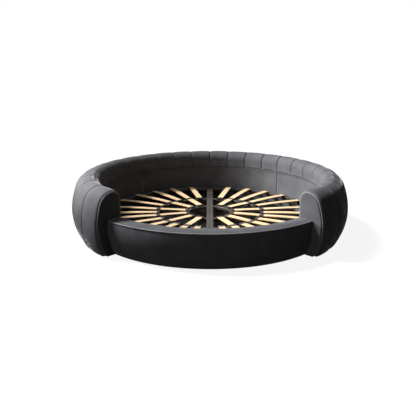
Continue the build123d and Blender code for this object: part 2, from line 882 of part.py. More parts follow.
# Nylon glides under the base boards
glide_rows = (
    (back_angle, section_glide_radius),
    (back_angle + section_turn, section_glide_radius),
    (back_angle - section_turn, section_glide_radius),
    (front_angle, rail_glide_radius),
)
with BuildPart() as floor_glides:
    for middle, radius in glide_rows:
        for glide in range(glides_per_section):
            turn = (glide - (glides_per_section - 1) / 2) * glide_spread
            spot = Vector(radius, 0, 0).rotate(Axis.Z, middle + turn)
            with BuildSketch(Plane(spot)):
                RegularPolygon(glide_diameter / 2, glide_sides)
            extrude(amount=floor_gap)
finish(floor_glides, "floor_glides")

# The dust cloth, stapled under the edges of the base boards and cut out for the feet
cloth_radius = board_inner + cloth_lap
with BuildPart() as dust_cover:
    with BuildSketch(Plane.XY.offset(floor_gap - cloth_thickness)):
        Circle(cloth_radius)
        for place, across, along, top in leg_places:
            with Locations((across, along)):
                RegularPolygon(foot_diameter / 2 + cloth_hole_play, foot_sides, mode=Mode.SUBTRACT)
    extrude(amount=cloth_thickness)
finish(dust_cover, "dust_cover")
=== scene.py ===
from math import atan2, cos, degrees, exp, pi, radians, sqrt

import bmesh
import bpy
from mathutils import Matrix, Vector, noise


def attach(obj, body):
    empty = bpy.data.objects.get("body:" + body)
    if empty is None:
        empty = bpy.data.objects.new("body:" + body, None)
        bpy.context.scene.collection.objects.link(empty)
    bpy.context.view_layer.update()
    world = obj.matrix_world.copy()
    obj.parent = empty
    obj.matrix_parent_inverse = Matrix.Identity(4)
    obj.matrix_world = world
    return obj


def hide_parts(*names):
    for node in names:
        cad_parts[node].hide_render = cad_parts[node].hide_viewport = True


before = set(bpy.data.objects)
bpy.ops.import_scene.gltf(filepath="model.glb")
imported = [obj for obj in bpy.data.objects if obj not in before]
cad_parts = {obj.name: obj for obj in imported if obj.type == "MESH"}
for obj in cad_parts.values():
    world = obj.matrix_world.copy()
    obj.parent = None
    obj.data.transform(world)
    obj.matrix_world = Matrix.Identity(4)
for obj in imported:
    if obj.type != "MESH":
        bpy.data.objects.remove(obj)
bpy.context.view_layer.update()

print("frame loaded")

# Lengths are in metres. Angles round the bed are in degrees from +X towards +Y.
bed = {
    "wellRadius": 1.010,
    "floorGap": 0.006,
    "frameTop": 0.140,
    "backAngle": 90.0,
    "frontAngle": -90.0,
}
roll = {
    "crestRadius": 1.080,  # where the roll is highest
    "height": 0.537,
    "innerRadius": 0.997,  # the lip that hangs over the inner pads
    "waist": 0.454,
    "seam": 0.380,
    "shoulderRadius": 0.138,
    "bellyRadius": 1.250,
    "bellyHeight": 0.240,
    "footRadius": 1.186,
    "foam": 0.0327,
    "lipRound": 0.007,
    "channels": 8,
    "pitch": 11.23,  # degrees from seam to seam
    "sectionTurn": 89.87,  # degrees from section to section
    "seamDepth": 0.0150,
    "crown": 0.0035,
    "endRound": 0.030,
    "endDepth": 0.013,
    "endGap": 0.03,  # degrees between the last channel and its end panel
    "stepsPerChannel": 24,
}
sectionAngle = roll["channels"] * roll["pitch"]
endAngle = bed["backAngle"] - 1.5 * sectionAngle - roll["endGap"]


def rollArcs():  # centre, radius, first and last angle of each arc, crest to foot
    crestInner = roll["crestRadius"] - roll["innerRadius"]
    run = roll["bellyRadius"] - roll["crestRadius"]
    rise = roll["height"] - roll["bellyHeight"]
    shoulder = roll["shoulderRadius"]
    sideRadius = (run**2 + rise**2 - 2 * rise * shoulder) / (2 * (run - shoulder))
    sideCentre = roll["bellyRadius"] - sideRadius
    shoulderHeight = roll["height"] - shoulder
    turn = degrees(
        atan2(shoulderHeight - roll["bellyHeight"], roll["crestRadius"] - sideCentre)
    )
    drop = roll["bellyHeight"] - bed["floorGap"]
    tuck = roll["bellyRadius"] - roll["footRadius"]
    footRadius = (drop**2 + tuck**2) / (2 * tuck)
    footCentre = roll["bellyRadius"] - footRadius
    footTurn = degrees(atan2(drop, roll["footRadius"] - footCentre))
    return (
        ((roll["crestRadius"], roll["waist"]), crestInner, 180, 90),
        ((roll["crestRadius"], shoulderHeight), shoulder, 90, turn),
        ((sideCentre, roll["bellyHeight"]), sideRadius, turn, 0),
        ((footCentre, roll["bellyHeight"]), footRadius, 0, -footTurn),
    )


# Shared mesh helpers
def newPiece(name, mesh, material, body="bed", smooth=True):
    data = bpy.data.meshes.new(name)
    mesh.normal_update()
    mesh.to_mesh(data)
    mesh.free()
    for face in data.polygons:
        face.use_smooth = smooth
    piece = bpy.data.objects.new(name, data)
    bpy.context.scene.collection.objects.link(piece)
    data.materials.append(material)
    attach(piece, body)
    return piece


def startPoint(mesh, across, up):
    return mesh.verts.new((across, 0, up))


def spinPoint(mesh, tip, centre, turn, steps):  # adds an arc of edges in the XZ plane
    made = bmesh.ops.spin(
        mesh, geom=[tip], cent=(centre[0], 0, centre[1]), axis=(0, -1, 0),
        angle=radians(turn), steps=steps, use_duplicate=False,
    )
    return [item for item in made["geom_last"] if isinstance(item, bmesh.types.BMVert)][0]


def linePoint(mesh, tip, across, up, steps=1):  # adds a straight run of edges
    start = tip.co.copy()
    end = Vector((across, 0, up))
    for step in range(1, steps + 1):
        made = bmesh.ops.extrude_vert_indiv(mesh, verts=[tip])["verts"][0]
        made.co = start.lerp(end, step / steps)
        tip = made
    return tip


def closeLoop(mesh, tip, first):
    bmesh.ops.contextual_create(mesh, geom=[tip, first])


def turnMesh(mesh, angle):
    turn = Matrix.Rotation(radians(angle), 3, "Z")
    bmesh.ops.rotate(mesh, verts=mesh.verts[:], cent=(0, 0, 0), matrix=turn)


def spinLoop(mesh, startAngle, turn, steps):  # turns the drawn outline round the bed
    geometry = mesh.verts[:] + mesh.edges[:]
    turnMesh(mesh, startAngle)
    bmesh.ops.spin(
        mesh, geom=geometry, cent=(0, 0, 0), axis=(0, 0, 1),
        angle=radians(turn), steps=steps, use_duplicate=False,
    )


def capEnds(mesh):
    mesh.edges.ensure_lookup_table()
    openEdges = [edge for edge in mesh.edges if edge.is_boundary]
    bmesh.ops.holes_fill(mesh, edges=openEdges, sides=0)
    bmesh.ops.recalc_face_normals(mesh, faces=mesh.faces[:])


def cutAcross(mesh, place, normal, clearInner=False):
    bmesh.ops.bisect_plane(
        mesh, geom=mesh.verts[:] + mesh.edges[:] + mesh.faces[:], dist=1e-6,
        plane_co=place, plane_no=normal, clear_inner=clearInner,
    )


def roundOff(mesh, geometry, offset, segments, affect="EDGES"):
    bmesh.ops.bevel(
        mesh, geom=geometry, offset=offset, offset_type="OFFSET", segments=segments,
        profile=0.5, affect=affect, material=-1,
    )


def skinAt(across, up):  # outward direction of the roll there, and height over its outline
    crest, shoulder, side, foot = rollArcs()
    if across < roll["crestRadius"]:
        if up <= roll["waist"]:
            return Vector((-1, 0)), roll["innerRadius"] - across
        arc = crest
    elif up < roll["bellyHeight"]:
        arc = foot
    else:
        arc = shoulder
        if degrees(atan2(up - arc[0][1], across - arc[0][0])) < arc[3]:
            arc = side
    way = Vector((across - arc[0][0], up - arc[0][1]))
    return way.normalized(), way.length - arc[1]


def smoothStep(value):
    value = min(max(value, 0.0), 1.0)
    return value * value * (3 - 2 * value)


# Materials
def newMaterial(name):
    material = bpy.data.materials.new(name)
    material.use_nodes = True
    tree = material.node_tree
    shader = tree.nodes["Principled BSDF"]
    return material, tree, shader


def addNode(tree, kind, **values):
    node = tree.nodes.new(kind)
    for name, value in values.items():
        setattr(node, name, value)
    return node


def setInputs(node, **values):
    for name, value in values.items():
        node.inputs[name.replace("_", " ")].default_value = value
    return node


def noiseNode(tree, source, scale, detail=3.0, roughness=0.55):
    node = addNode(tree, "ShaderNodeTexNoise")
    setInputs(node, Scale=scale, Detail=detail, Roughness=roughness)
    tree.links.new(source, node.inputs["Vector"])
    return node.outputs["Fac"]


def mapRange(tree, source, low, high, toLow, toHigh):
    node = addNode(tree, "ShaderNodeMapRange")
    setInputs(node, From_Min=low, From_Max=high, To_Min=toLow, To_Max=toHigh)
    tree.links.new(source, node.inputs["Value"])
    return node.outputs["Result"]


def mathNode(tree, operation, first, second=None):
    node = addNode(tree, "ShaderNodeMath", operation=operation)
    for slot, value in ((0, first), (1, second)):
        if value is None:
            continue
        if isinstance(value, (int, float)):
            node.inputs[slot].default_value = value
        else:
            tree.links.new(value, node.inputs[slot])
    return node.outputs[0]


def ramp(tree, source, stops):
    node = addNode(tree, "ShaderNodeValToRGB")
    bar = node.color_ramp
    while len(bar.elements) < len(stops):
        bar.elements.new(0.5)
    for element, (place, colour) in zip(bar.elements, stops):
        element.position = place
        element.color = (*colour, 1)
    tree.links.new(source, node.inputs["Fac"])
    return node.outputs["Color"]


def bumpNode(tree, height, strength, distance, under=None):
    node = addNode(tree, "ShaderNodeBump")
    setInputs(node, Strength=strength, Distance=distance)
    tree.links.new(height, node.inputs["Height"])
    if under is not None:
        tree.links.new(under, node.inputs["Normal"])
    return node.outputs["Normal"]


def objectPlace(tree):
    return addNode(tree, "ShaderNodeTexCoord").outputs["Object"]


cloth = {
    "dark": (0.082, 0.083, 0.089),
    "light": (0.118, 0.119, 0.127),
    "sheen": 0.50,
    "sheenRoughness": 0.20,
    "sheenTint": (0.75, 0.77, 0.8, 1),
    "shine": 0.03,
    "pileSize": 7.0,  # sizes are in waves to a metre
    "speckSize": 420.0,
    "unevenSize": 28.0,
    "weaveSize": 1150.0,
}


def clothMaterial(name, dark, light, sheen):
    material, tree, shader = newMaterial(name)
    place = objectPlace(tree)
    pile = noiseNode(tree, place, cloth["pileSize"], 4.0)
    speck = noiseNode(tree, place, cloth["speckSize"], 2.0)
    blend = mathNode(
        tree, "ADD", mathNode(tree, "MULTIPLY", pile, 0.7), mathNode(tree, "MULTIPLY", speck, 0.3)
    )
    colour = ramp(tree, blend, ((0.35, dark), (0.65, light)))
    tree.links.new(colour, shader.inputs["Base Color"])
    rough = mapRange(tree, pile, 0.3, 0.7, 0.78, 0.92)
    tree.links.new(rough, shader.inputs["Roughness"])
    weave = addNode(tree, "ShaderNodeTexVoronoi", feature="F1")
    setInputs(weave, Scale=cloth["weaveSize"])
    tree.links.new(place, weave.inputs["Vector"])
    soft = bumpNode(tree, noiseNode(tree, place, cloth["unevenSize"], 3.0), 0.25, 0.002)
    fine = bumpNode(tree, weave.outputs["Distance"], 0.35, 0.0004, soft)
    tree.links.new(fine, shader.inputs["Normal"])
    shader.inputs["Sheen Weight"].default_value = sheen
    shader.inputs["Sheen Roughness"].default_value = cloth["sheenRoughness"]
    shader.inputs["Sheen Tint"].default_value = cloth["sheenTint"]
    shader.inputs["Specular IOR Level"].default_value = cloth["shine"]
    return material


upholstery = clothMaterial("charcoalVelvet", cloth["dark"], cloth["light"], cloth["sheen"])
# The cord cloth is the velvet painted lighter: a painted highlight that makes the piping read as a
# light line.
cordClothPaintedHighlight = clothMaterial("charcoalCordPaintedHighlight", (0.22, 0.22, 0.23), (0.29, 0.29, 0.30), 0.8)
# The dust cloth is drawn near black, a painted shade for the dark well under the slats.
dustClothPaintedShade = clothMaterial("blackCambricPaintedShade", (0.006, 0.006, 0.006), (0.012, 0.012, 0.012), 0.0)
felt = clothMaterial("darkFelt", (0.02, 0.018, 0.016), (0.04, 0.036, 0.032), 0.2)

slatPly = {
    "pale": (0.56, 0.43, 0.28),
    "tan": (0.50, 0.33, 0.17),
    "edge": (0.34, 0.17, 0.06),
    "grainStretch": (2.2, 90.0, 1.0),
    "plyWaves": 3900.0,
    "shine": 0.2,
}


def slatMaterial():
    material, tree, shader = newMaterial("beechSlat")
    height = addNode(tree, "ShaderNodeSeparateXYZ")
    tree.links.new(objectPlace(tree), height.inputs[0])
    mapping = addNode(tree, "ShaderNodeMapping")
    mapping.inputs["Scale"].default_value = slatPly["grainStretch"]
    grainMap = addNode(tree, "ShaderNodeUVMap", uv_map="grain")
    tree.links.new(grainMap.outputs[0], mapping.inputs["Vector"])
    grain = noiseNode(tree, mapping.outputs[0], 1.6, 4.0, 0.6)
    top = ramp(tree, grain, ((0.32, slatPly["tan"]), (0.62, slatPly["pale"])))
    layers = mathNode(tree, "MULTIPLY", height.outputs[2], slatPly["plyWaves"])
    plies = mapRange(tree, mathNode(tree, "SINE", layers), -1, 1, 0, 1)
    edge = ramp(tree, plies, ((0.2, slatPly["edge"]), (0.8, slatPly["tan"])))
    normal = addNode(tree, "ShaderNodeNewGeometry").outputs["True Normal"]
    way = addNode(tree, "ShaderNodeSeparateXYZ")
    tree.links.new(normal, way.inputs[0])
    flat = mapRange(tree, mathNode(tree, "ABSOLUTE", way.outputs[2]), 0.55, 0.8, 0, 1)
    mix = addNode(tree, "ShaderNodeMix", data_type="RGBA")
    tree.links.new(flat, mix.inputs[0])
    tree.links.new(edge, mix.inputs[6])
    tree.links.new(top, mix.inputs[7])
    tree.links.new(mix.outputs[2], shader.inputs["Base Color"])
    tree.links.new(mapRange(tree, grain, 0.3, 0.7, 0.68, 0.56), shader.inputs["Roughness"])
    tree.links.new(bumpNode(tree, grain, 0.2, 0.0006), shader.inputs["Normal"])
    shader.inputs["Specular IOR Level"].default_value = slatPly["shine"]
    return material


def plainWood(name, dark, light, stretch):
    material, tree, shader = newMaterial(name)
    mapping = addNode(tree, "ShaderNodeMapping")
    mapping.inputs["Scale"].default_value = stretch
    tree.links.new(objectPlace(tree), mapping.inputs["Vector"])
    grain = noiseNode(tree, mapping.outputs[0], 6.0, 5.0, 0.65)
    tree.links.new(ramp(tree, grain, ((0.35, dark), (0.65, light))), shader.inputs["Base Color"])
    tree.links.new(bumpNode(tree, grain, 0.25, 0.001), shader.inputs["Normal"])
    shader.inputs["Roughness"].default_value = 0.7
    return material


def coatedMaterial(name, dark, light, roughness, metallic=0.0):
    material, tree, shader = newMaterial(name)
    place = objectPlace(tree)
    cloud = noiseNode(tree, place, 9.0, 3.0)
    speckle = noiseNode(tree, place, 900.0, 2.0)
    colour = ramp(tree, cloud, ((0.35, dark), (0.65, light)))
    tree.links.new(colour, shader.inputs["Base Color"])
    rough = mapRange(tree, cloud, 0.3, 0.7, roughness - 0.06, roughness + 0.06)
    tree.links.new(rough, shader.inputs["Roughness"])
    tree.links.new(bumpNode(tree, speckle, 0.15, 0.0004), shader.inputs["Normal"])
    shader.inputs["Metallic"].default_value = metallic
    return material


slatWood = slatMaterial()
boardWood = plainWood("rawPlywood", (0.36, 0.25, 0.14), (0.56, 0.42, 0.26), (4, 4, 30))
taupeSteel = coatedMaterial("taupePowderCoat", (0.018, 0.013, 0.0095), (0.026, 0.0195, 0.0145), 0.5)
holderPlastic = coatedMaterial("holderPlastic", (0.018, 0.014, 0.011), (0.035, 0.026, 0.02), 0.42)
footPlastic = coatedMaterial("blackNylon", (0.012, 0.012, 0.012), (0.022, 0.022, 0.022), 0.5)
zincSteel = coatedMaterial("zincPlate", (0.45, 0.45, 0.43), (0.66, 0.66, 0.63), 0.32, 1.0)
screwSteel = coatedMaterial("screwSteel", (0.16, 0.12, 0.08), (0.24, 0.19, 0.13), 0.5, 0.6)
print("materials made")


# Channelled covers: one closed pad for each section, sewn in at its channel seams
cover = {
    "seamLift": 0.001,  # how far the cover's lower edge stands over the pads' seam
    "padReach": 0.006,  # and how far it reaches over the pads
    "lipSteps": 5,
    "innerSteps": 6,
    "skinSteps": (14, 10, 16, 16),  # on each arc of the skin, crest to foot
    "liningSteps": 5,
    "liningFootSteps": 6,
    "skinDepth": 0.02,  # deeper points are lining, which isn't sewn in
    "innerReach": 1.02,  # within this radius the seams run out towards the pads
    "edgeFade": 0.012,
    "lowStart": 0.02,
    "lowFade": 0.05,
}
gather = {
    "start": 0.55,  # places between a channel's middle, zero, and its seam, one
    "rise": 0.40,
    "seamStart": 0.93,
    "seamWidth": 0.07,
    "waves": 34,  # to a metre
    "seamShift": 3.7,  # gives each seam folds of its own
    "depth": 0.0016,
    "broadWaves": 5,  # to a metre along the outline
    "broadTurn": 0.22,  # and to a degree round the bed
    "broadDepth": 0.0014,
}


def seamSpacing(step):  # the steps of a channel stand closer near its seams
    share = step % roll["stepsPerChannel"] / roll["stepsPerChannel"]
    return (step // roll["stepsPerChannel"] + 0.5 - 0.5 * cos(pi * share)) * roll["pitch"]


def channelInset(angle, reach, openStart, openEnd):  # how far a section's skin is drawn in
    place = angle / roll["pitch"]
    across = abs((place % 1.0) * 2 - 1)
    inset = roll["crown"] * across**2
    gap = (1 - across) / 2 * radians(roll["pitch"]) * reach
    fillet = roll["seamDepth"] - roll["crown"]
    if gap < fillet:
        inset += fillet - sqrt(fillet**2 - (fillet - gap) ** 2)
    for isOpen, distance in (
        (openStart, radians(angle) * reach),
        (openEnd, radians(sectionAngle - angle) * reach),
    ):
        if isOpen and distance < roll["endRound"]:
            fall = 1 - distance / roll["endRound"]
            rounding = roll["endDepth"] * (1 - sqrt(1 - fall * fall))
            inset = max(inset, rounding + roll["crown"] * 0.5)
    return inset


def pucker(angle, along, seed):  # small gathers beside the seams and broad unevenness
    place = angle / roll["pitch"]
    across = abs((place % 1.0) * 2 - 1)
    near = smoothStep((across - gather["start"]) / gather["rise"])
    near *= 1 - smoothStep((across - gather["seamStart"]) / gather["seamWidth"])
    fold = seed + round(place) * gather["seamShift"]
    wave = noise.noise(Vector((along * gather["waves"], fold, 0.4)))
    broad = noise.noise(
        Vector((along * gather["broadWaves"], angle * gather["broadTurn"], seed))
    )
    return near * wave * gather["depth"] + broad * gather["broadDepth"]


def drawCover(mesh):  # the outline of skin and lining in the XZ plane
    low = bed["floorGap"]
    lip = roll["lipRound"]
    foam = roll["foam"]
    seamUp = roll["seam"] + cover["seamLift"]
    first = startPoint(mesh, bed["wellRadius"] + cover["padReach"], seamUp)
    tip = linePoint(mesh, first, roll["innerRadius"] + lip, seamUp, 2)
    tip = spinPoint(mesh, tip, (roll["innerRadius"] + lip, seamUp + lip), -90, cover["lipSteps"])
    tip = linePoint(mesh, tip, roll["innerRadius"], roll["waist"], cover["innerSteps"])
    for (centre, _, begin, end), steps in zip(rollArcs(), cover["skinSteps"]):
        tip = spinPoint(mesh, tip, centre, end - begin, steps)
    footCentre, footRadius = rollArcs()[3][:2]
    drop = roll["bellyHeight"] - low
    reach = sqrt((footRadius - foam) ** 2 - drop**2)
    tip = linePoint(mesh, tip, footCentre[0] + reach, low, 2)
    turn = degrees(atan2(drop, reach))
    tip = spinPoint(mesh, tip, footCentre, turn, cover["liningFootSteps"])
    for centre, _, begin, end in reversed(rollArcs()[:3]):
        tip = spinPoint(mesh, tip, centre, begin - end, cover["liningSteps"])
    tip = linePoint(mesh, tip, roll["innerRadius"] + foam, seamUp, 2)
    closeLoop(mesh, tip, first)


def channelCover(side, startAngle, openStart, openEnd, seed):
    mesh = bmesh.new()
    drawCover(mesh)
    spinLoop(mesh, startAngle, sectionAngle, roll["channels"] * roll["stepsPerChannel"])
    seamUp = roll["seam"] + cover["seamLift"]
    for vert in mesh.verts:
        reach = vert.co.xy.length
        angle = (degrees(atan2(vert.co.y, vert.co.x)) - startAngle + 1) % 360 - 1
        step = round(angle / roll["pitch"] * roll["stepsPerChannel"])
        angle = seamSpacing(step)
        flat = Matrix.Rotation(radians(startAngle + angle), 2) @ Vector((reach, 0))
        vert.co.xy = flat
        way, depth = skinAt(reach, vert.co.z)
        if depth < -cover["skinDepth"]:
            continue
        edge = 1.0
        if reach < cover["innerReach"]:
            edge = smoothStep((vert.co.z - seamUp) / cover["edgeFade"])
        lowFade = smoothStep((vert.co.z - cover["lowStart"]) / cover["lowFade"])
        inset = channelInset(angle, reach, openStart, openEnd) * edge
        inset -= pucker(angle, vert.co.z + reach, seed) * edge * lowFade
        place = Vector((reach, vert.co.z)) - inset * way
        flat = flat * (place.x / reach)
        vert.co = Vector((flat.x, flat.y, max(place.y, bed["floorGap"])))
    capEnds(mesh)
    piece = newPiece(side + "ChannelCover", mesh, upholstery)
    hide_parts(side + "_channel_cover")


backStart = bed["backAngle"] - sectionAngle / 2
sections = (  # side, start angle, open at its start, open at its end, seed
    ("back", backStart, False, False, 1.3),
    ("left", backStart + roll["sectionTurn"], False, True, 7.1),
    ("right", backStart - roll["sectionTurn"], True, False, 4.6),
)
for side, startAngle, openStart, openEnd, seed in sections:
    channelCover(side, startAngle, openStart, openEnd, seed)
print("channel covers made")

# Plain inner pads below the roll
pad = {
    "top": 0.3797,
    "back": 1.0297,
    "edgeRound": 0.006,
    "edgeDepth": 0.0045,
    "endRound": 0.016,
    "faceDepth": 0.007,  # points deeper than this are the pad's back
    "unevenness": 0.0012,
    "waves": 3.2,  # to a metre upwards
    "waveTurn": 0.09,  # and to a degree round the bed
    "edgeSteps": 4,
    "faceSteps": 26,
    "steps": 150,
}


def innerPad(side, startAngle, seed):
    mesh = bmesh.new()
    face, low, top, back = bed["wellRadius"], bed["floorGap"], pad["top"], pad["back"]
    first = startPoint(mesh, back, low)
    tip = linePoint(mesh, first, face, low)
    tip = linePoint(mesh, tip, face, top - pad["edgeRound"], pad["faceSteps"])
    centre = (face + pad["edgeRound"], top - pad["edgeRound"])
    tip = spinPoint(mesh, tip, centre, -90, pad["edgeSteps"])
    tip = linePoint(mesh, tip, back, top)
    closeLoop(mesh, tip, first)
    spinLoop(mesh, startAngle, sectionAngle, pad["steps"])
    for vert in mesh.verts:
        reach = vert.co.xy.length
        if reach > face + pad["faceDepth"]:
            continue
        angle = (degrees(atan2(vert.co.y, vert.co.x)) - startAngle) % 360
        angle = 0.0 if angle > 359 else min(angle, sectionAngle)
        distance = radians(min(angle, sectionAngle - angle)) * face
        fall = max(1 - distance / pad["endRound"], 0)
        inset = pad["edgeDepth"] * (1 - sqrt(1 - fall * fall))
        soft = noise.noise(Vector((angle * pad["waveTurn"], vert.co.z * pad["waves"], seed)))
        inset += pad["unevenness"] * (soft + 1) * (1 - fall)
        vert.co.xy = vert.co.xy * ((reach + inset) / reach)
    capEnds(mesh)
    piece = newPiece(side + "InnerPad", mesh, upholstery)
    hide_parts(side + "_inner_pad")


for side, startAngle, _, _, seed in sections:
    innerPad(side, startAngle, seed)
print("inner pads made")

# End panels and their piping, drawn at the right end and mirrored to the left
endPanel = {
    "inset": 0.0233,
    "thickness": 0.016,
    "gap": 0.0003,
    "edge": 0.005,
    # thickness and depth of each inset that rounds the edge
    "edgeInsets": ((0.0015, 0.0022), (0.003, 0.0018), (0.006, 0.0008), (0.014, 0.0002)),
    "riseSteps": 8,
    "arcSteps": (12, 9, 14, 14),  # crest to foot
}
piping = {
    "radius": 0.0045,
    "inset": 0.0185,
    "sides": 14,
    "low": 0.015,
    "riseSteps": 8,
    "arcSteps": (14, 10, 14, 14),
}


def toEnd(mesh, side, offset):  # moves a drawing in the XZ plane to an end of the surround
    normal = Matrix.Rotation(radians(endAngle), 3, "Z") @ Vector((0, -1, 0))
    turnMesh(mesh, endAngle)
    bmesh.ops.translate(mesh, verts=mesh.verts[:], vec=normal * offset)
    if side == "left":
        bmesh.ops.scale(mesh, verts=mesh.verts[:], vec=(-1, 1, 1))
    bmesh.ops.recalc_face_normals(mesh, faces=mesh.faces[:])


def arcTurns(inset, low):  # centre and turn of each arc, for a line inside the roll's outline
    *upper, (footCentre, radius, _, _) = rollArcs()
    drop = roll["bellyHeight"] - low
    turns = [(centre, end - begin) for centre, _, begin, end in upper]
    turns.append((footCentre, -degrees(atan2(drop, sqrt((radius - inset) ** 2 - drop**2)))))
    return turns


def makeEndPanel(side):
    mesh = bmesh.new()
    inset, low = endPanel["inset"], bed["floorGap"]
    first = startPoint(mesh, roll["innerRadius"] + inset, low)
    tip = linePoint(mesh, first, roll["innerRadius"] + inset, roll["waist"], endPanel["riseSteps"])
    for (centre, turn), steps in zip(arcTurns(inset, low), endPanel["arcSteps"]):
        tip = spinPoint(mesh, tip, centre, turn, steps)
    closeLoop(mesh, tip, first)
    face = bmesh.ops.contextual_create(mesh, geom=mesh.edges[:])["faces"][0]
    solid = bmesh.ops.extrude_face_region(mesh, geom=[face])
    front = [item for item in solid["geom"] if isinstance(item, bmesh.types.BMFace)]
    moved = [item for item in solid["geom"] if isinstance(item, bmesh.types.BMVert)]
    depth = endPanel["thickness"] - endPanel["edge"]
    bmesh.ops.translate(mesh, verts=moved, vec=(0, -depth, 0))
    for thickness, depth in endPanel["edgeInsets"]:
        bmesh.ops.inset_region(
            mesh, faces=front, thickness=thickness, depth=depth, use_even_offset=True
        )
    toEnd(mesh, side, endPanel["gap"])
    piece = newPiece(side + "EndPanel", mesh, upholstery)
    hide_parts(side + "_end_panel")


def lastRing(made):
    return [item for item in made["geom_last"] if not isinstance(item, bmesh.types.BMFace)]


def makeEndPiping(side):
    mesh = bmesh.new()
    inset, low = piping["inset"], piping["low"]
    place = Matrix.Translation((roll["innerRadius"] + inset, 0, low))
    bmesh.ops.create_circle(mesh, segments=piping["sides"], radius=piping["radius"], matrix=place)
    ring = mesh.verts[:] + mesh.edges[:]
    rise = Vector((0, 0, roll["waist"] - low))
    steps = piping["riseSteps"]
    made = bmesh.ops.spin(mesh, geom=ring, axis=(0, 0, 1), dvec=rise / steps, angle=0, steps=steps)
    ring = lastRing(made)
    for (centre, turn), steps in zip(arcTurns(inset, low), piping["arcSteps"]):
        made = bmesh.ops.spin(
            mesh, geom=ring, cent=(centre[0], 0, centre[1]), axis=(0, -1, 0),
            angle=radians(turn), steps=steps,
        )
        ring = lastRing(made)
    capEnds(mesh)
    toEnd(mesh, side, piping["radius"] + endPanel["gap"])
    piece = newPiece(side + "EndPiping", mesh, cordClothPaintedHighlight)
    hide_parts(side + "_end_piping")


for side in ("right", "left"):
    makeEndPanel(side)
    makeEndPiping(side)
print("end panels made")

# Front rail
rail = {
    "height": 0.305,
    "topRadius": 1.140,
    "bellyRadius": 1.148,
    "bellyHeight": 0.225,
    "footRadius": 1.082,
    "foam": 0.0247,
    "edge": 0.010,
    "crown": 0.004,
    "pipingHeight": 0.300,
    "endOffset": 0.0166,
    "seamRadii": (1.101, 1.126),
    "seamDepth": 0.0022,
    "seamWidth": 0.0035,
    "topUnevenness": 0.0008,
    "frontUnevenness": 0.0018,
    "frontBias": 0.4,  # keeps it mostly inwards
    "waves": 4,  # to a metre upwards
    "acrossWaves": 6,  # to a metre across
    "waveTurn": 0.12,  # and to a degree round the bed
    "margin": 0.004,  # the uneven front ends this far below the piping and inside the foot
    "lowStart": 0.01,
    "lowFade": 0.05,
    "wallSteps": 16,
    "edgeSteps": 5,
    "ledgeSteps": 62,
    "slopeSteps": 3,
    "frontSteps": (12, 18),  # above and below the belly
    "liningSteps": 6,
    "steps": 140,
}
railHalf = endAngle - bed["frontAngle"]
railStart = bed["frontAngle"] - railHalf


def trimRailEnds(mesh):
    for side in (1, -1):
        angle = endAngle if side > 0 else railStart
        normal = Matrix.Rotation(radians(angle), 3, "Z") @ Vector((0, -side, 0))
        cutAcross(mesh, normal * rail["endOffset"], normal, clearInner=True)
    capEnds(mesh)


def railArcs():  # centre, radius and turn of the rail's upper and lower outer arcs
    rise = rail["pipingHeight"] - rail["bellyHeight"]
    lean = rail["bellyRadius"] - rail["topRadius"]
    upper = (rise**2 + lean**2) / (2 * lean)
    drop = rail["bellyHeight"] - bed["floorGap"]
    tuck = rail["bellyRadius"] - rail["footRadius"]
    lower = (drop**2 + tuck**2) / (2 * tuck)
    upperCentre, lowerCentre = rail["bellyRadius"] - upper, rail["bellyRadius"] - lower
    return (
        ((upperCentre, rail["bellyHeight"]), upper, degrees(atan2(rise, upper - lean))),
        ((lowerCentre, rail["bellyHeight"]), lower, degrees(atan2(drop, lower - tuck))),
    )


def drawRail(mesh):  # the outline of cover and lining in the XZ plane
    low, edge, foam = bed["floorGap"], rail["edge"], rail["foam"]
    edgeCentre = (bed["wellRadius"] + edge, rail["height"] - edge)
    first = startPoint(mesh, pad["back"], low)
    tip = linePoint(mesh, first, bed["wellRadius"], low)
    tip = linePoint(mesh, tip, bed["wellRadius"], edgeCentre[1], rail["wallSteps"])
    tip = spinPoint(mesh, tip, edgeCentre, -90, rail["edgeSteps"])
    tip = linePoint(mesh, tip, rail["topRadius"] - edge, rail["height"], rail["ledgeSteps"])
    tip = linePoint(mesh, tip, rail["topRadius"], rail["pipingHeight"], rail["slopeSteps"])
    for (centre, _, turn), steps in zip(railArcs(), rail["frontSteps"]):
        tip = spinPoint(mesh, tip, centre, -turn, steps)
    centre, radius, _ = railArcs()[1]
    drop = rail["bellyHeight"] - low
    reach = sqrt((radius - foam) ** 2 - drop**2)
    tip = linePoint(mesh, tip, centre[0] + reach, low)
    tip = spinPoint(mesh, tip, centre, degrees(atan2(drop, reach)), rail["liningSteps"])
    top = rail["height"] - (pad["back"] - bed["wellRadius"])
    tip = linePoint(mesh, tip, rail["topRadius"] - foam, top, 2)
    tip = linePoint(mesh, tip, pad["back"], top, 2)
    closeLoop(mesh, tip, first)


def dressRail(mesh):  # a crowned ledge with two seams, and a softly uneven front
    middle = (bed["wellRadius"] + rail["topRadius"]) / 2
    half = (rail["topRadius"] - bed["wellRadius"]) / 2 - rail["edge"]
    tolerance = 0.0005
    for vert in mesh.verts:
        reach = vert.co.xy.length
        angle = degrees(atan2(vert.co.y, vert.co.x))
        along = vert.co.z * rail["waves"] + reach * rail["acrossWaves"]
        soft = noise.noise(Vector((angle * rail["waveTurn"], along, 2.2)))
        onTop = abs(vert.co.z - rail["height"]) < tolerance
        if onTop and abs(reach - middle) < half + tolerance:
            lift = rail["crown"] * (1 - ((reach - middle) / half) ** 2)
            for seamRadius in rail["seamRadii"]:
                away = (reach - seamRadius) / rail["seamWidth"]
                lift -= rail["seamDepth"] * exp(-(away**2))
            vert.co.z += lift + soft * rail["topUnevenness"]
        elif (
            reach > rail["footRadius"] - rail["margin"]
            and vert.co.z < rail["pipingHeight"] - rail["margin"]
        ):
            fade = smoothStep((vert.co.z - rail["lowStart"]) / rail["lowFade"])
            push = (soft - rail["frontBias"]) * rail["frontUnevenness"] * fade
            vert.co.xy = vert.co.xy * ((reach + push) / reach)


